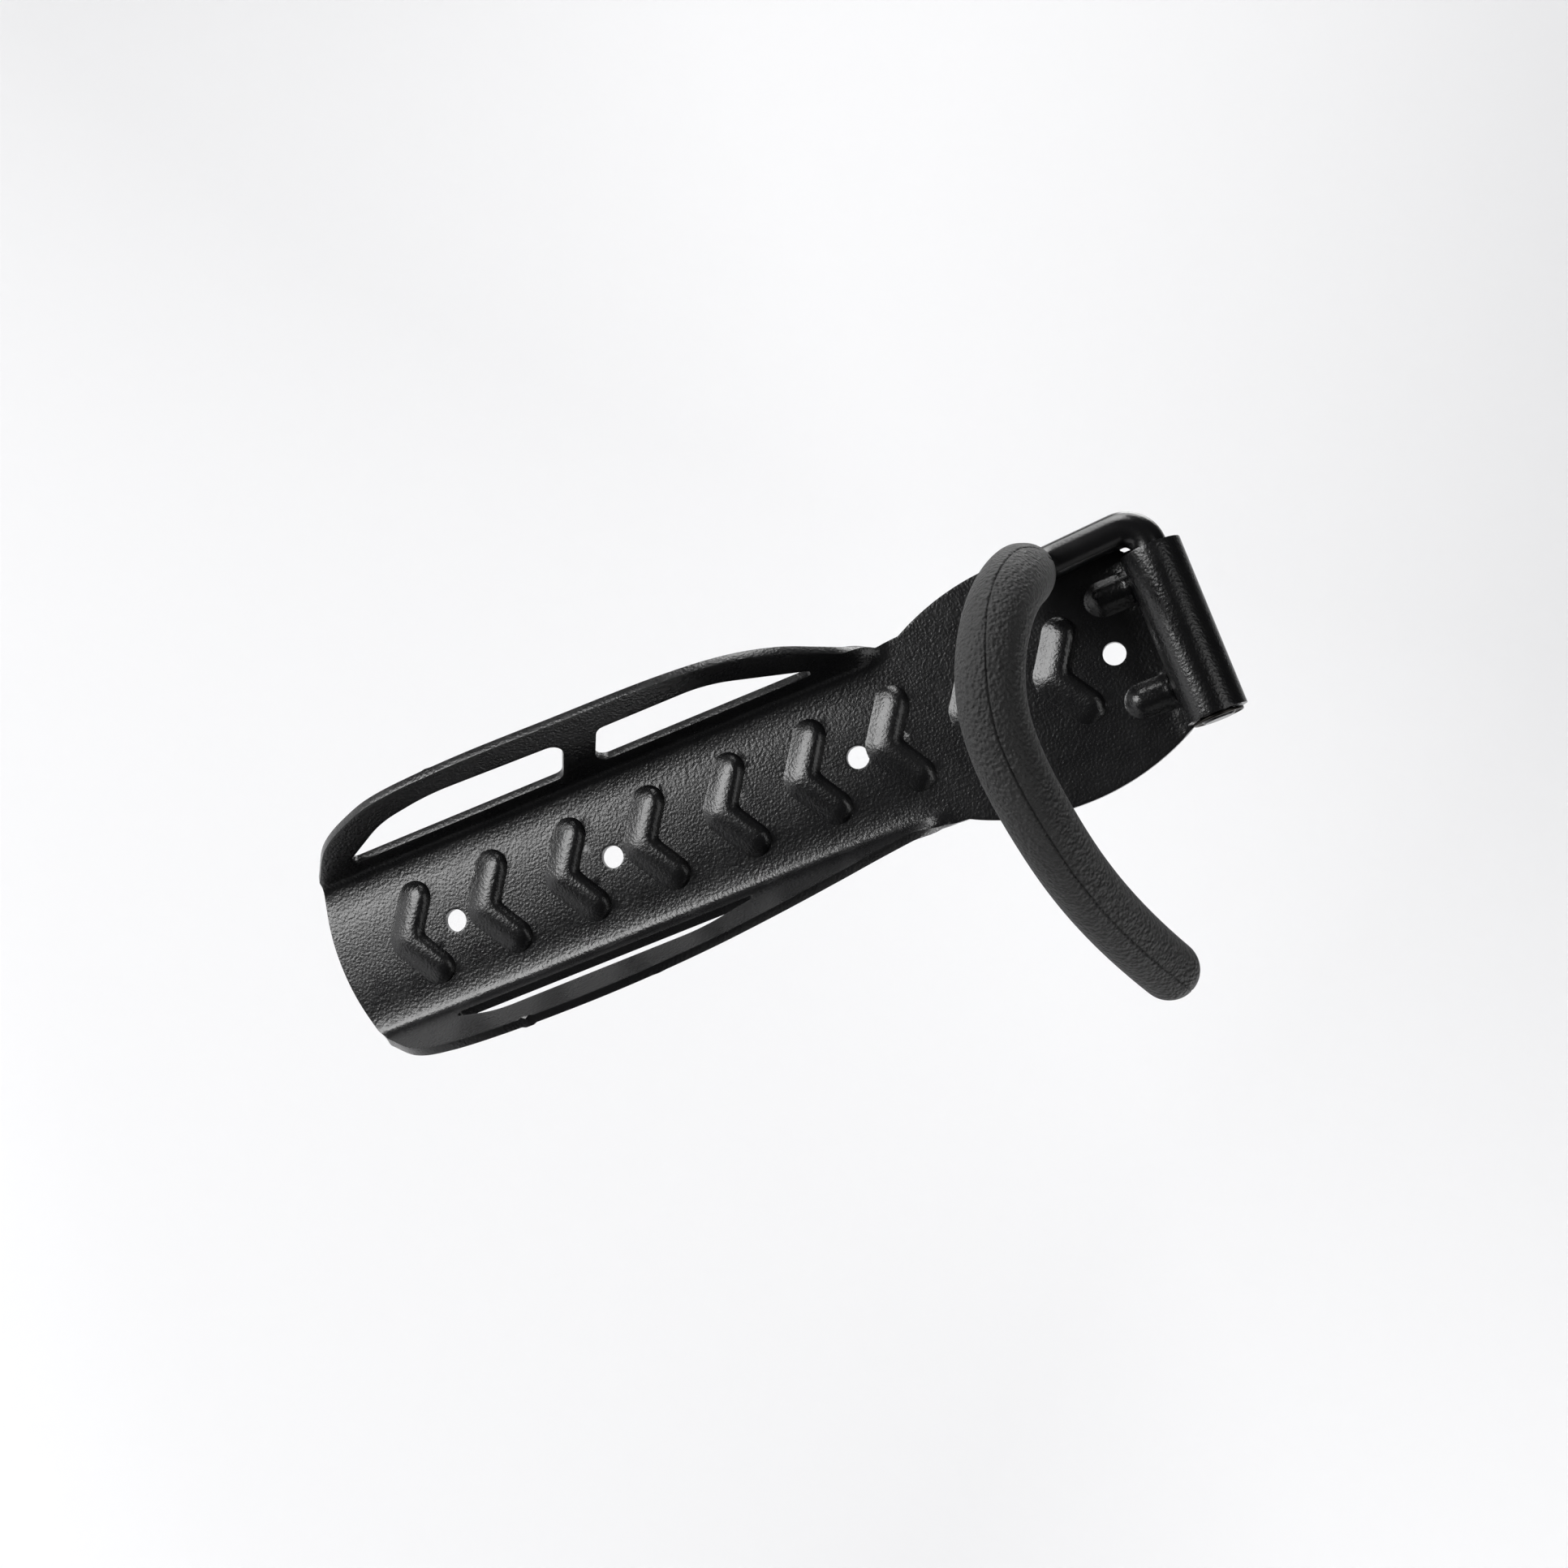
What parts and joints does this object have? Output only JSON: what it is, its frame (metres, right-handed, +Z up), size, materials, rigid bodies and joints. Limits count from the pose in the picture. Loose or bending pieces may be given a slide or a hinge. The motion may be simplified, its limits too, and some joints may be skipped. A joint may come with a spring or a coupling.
{
  "type": "bicycle wall rack",
  "caption": "Vertical wall rack for a bicycle: stamped steel plate with a flared tyre tray, raised chevrons and a hinge barrel that carries a swinging rod hook in a rubber sleeve.",
  "frame": {"origin": "on the wall plane, midway between the centres of the highest and the lowest screw hole", "axes": "+X to the right seen from the room, +Y into the wall, +Z up, with the hinge barrel at the top"},
  "size_m": [0.1343, 0.1178, 0.2722],
  "materials": {
    "powder_coated_steel": "black powder coat, semi-gloss with a fine orange peel",
    "coated_rod": "black powder coat, smooth semi-gloss",
    "moulded_rubber": "matt black with a fine pebbled grain and a parting line",
    "ring_steel": "black oxide spring steel, satin"
  },
  "bodies": {
    "plate": {"wall_plate": "powder_coated_steel"},
    "hook": {"hook_rod": "coated_rod", "grip_sleeve": "moulded_rubber", "retaining_ring": "ring_steel"}
  },
  "joints": [
    {"name": "hook_swing", "type": "hinge", "parent": "plate", "child": "hook", "pos_m": [0, -0.0086, 0.1226], "axis": [-1, 0, 0], "range_deg": [0, 112]}
  ]
}
